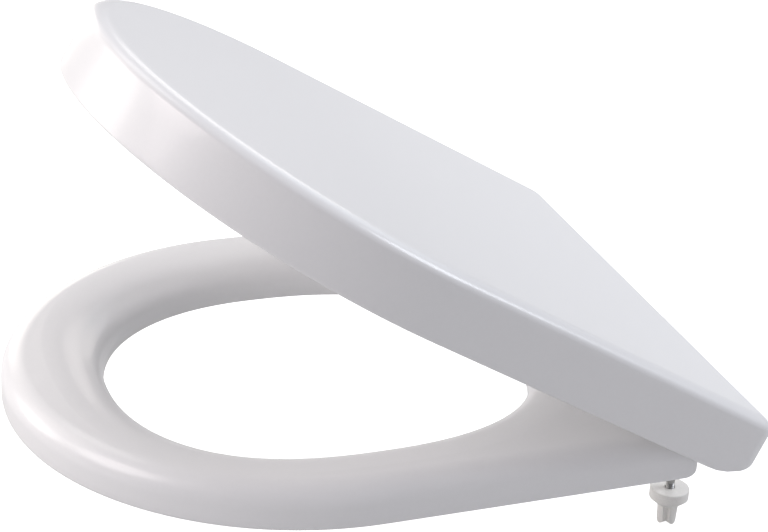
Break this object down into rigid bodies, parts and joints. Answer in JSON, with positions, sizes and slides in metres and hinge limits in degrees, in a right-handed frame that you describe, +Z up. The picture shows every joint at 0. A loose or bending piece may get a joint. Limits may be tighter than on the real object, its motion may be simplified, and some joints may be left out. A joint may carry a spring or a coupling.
{
  "type": "toilet seat",
  "caption": "D-shaped toilet seat with a wrap-over lid and a hollow ring on steel strap hinges, fixed to the pan by long bolts and flanged plastic nuts.",
  "frame": {"origin": "midway between the two fixing bolts, in the plane of the pan's top surface", "axes": "+Z up, +Y from the front of the seat to its hinges, +X to the right of someone facing +Y"},
  "size_m": [0.37, 0.4437, 0.3491],
  "materials": {
    "gloss_white": "polished white thermoset moulding",
    "nylon_white": "plain moulded nylon",
    "damper_grey": "plain moulded plastic",
    "buffer_grey": "soft moulded buffer",
    "gasket_rubber": "soft flat pad",
    "hinge_steel": "brushed stainless strip",
    "bolt_steel": "plain stainless bolt"
  },
  "bodies": {
    "base": {"hinge_bracket_right": "hinge_steel", "hinge_bracket_left": "hinge_steel", "hinge_pin_right": "hinge_steel", "hinge_pin_left": "hinge_steel", "pin_cap_inner_right": "nylon_white", "pin_cap_outer_right": "nylon_white", "pin_cap_inner_left": "nylon_white", "pin_cap_outer_left": "nylon_white", "foot_gasket_right": "gasket_rubber", "foot_gasket_left": "gasket_rubber", "fixing_bolt_right": "bolt_steel", "fixing_bolt_left": "bolt_steel", "fixing_nut_right": "nylon_white", "fixing_nut_left": "nylon_white"},
    "ring": {"seat_ring": "gloss_white", "ring_damper": "damper_grey", "ring_bush": "nylon_white", "ring_buffer_front_right": "buffer_grey", "ring_buffer_rear_right": "buffer_grey", "ring_buffer_front_left": "buffer_grey", "ring_buffer_rear_left": "buffer_grey"},
    "lid": {"lid": "gloss_white", "lid_damper": "damper_grey", "lid_bush": "nylon_white", "lid_buffer_right": "buffer_grey", "lid_buffer_left": "buffer_grey"}
  },
  "joints": [
    {"name": "ring_hinge", "type": "hinge", "parent": "base", "child": "ring", "pos_m": [0, -0.0132, 0.0312], "axis": [-1, 0, 0], "range_deg": [0, 90]},
    {"name": "lid_hinge", "type": "hinge", "parent": "ring", "child": "lid", "pos_m": [0, -0.0132, 0.0312], "axis": [-1, 0, 0], "range_deg": [-30.5, 69.5]}
  ]
}
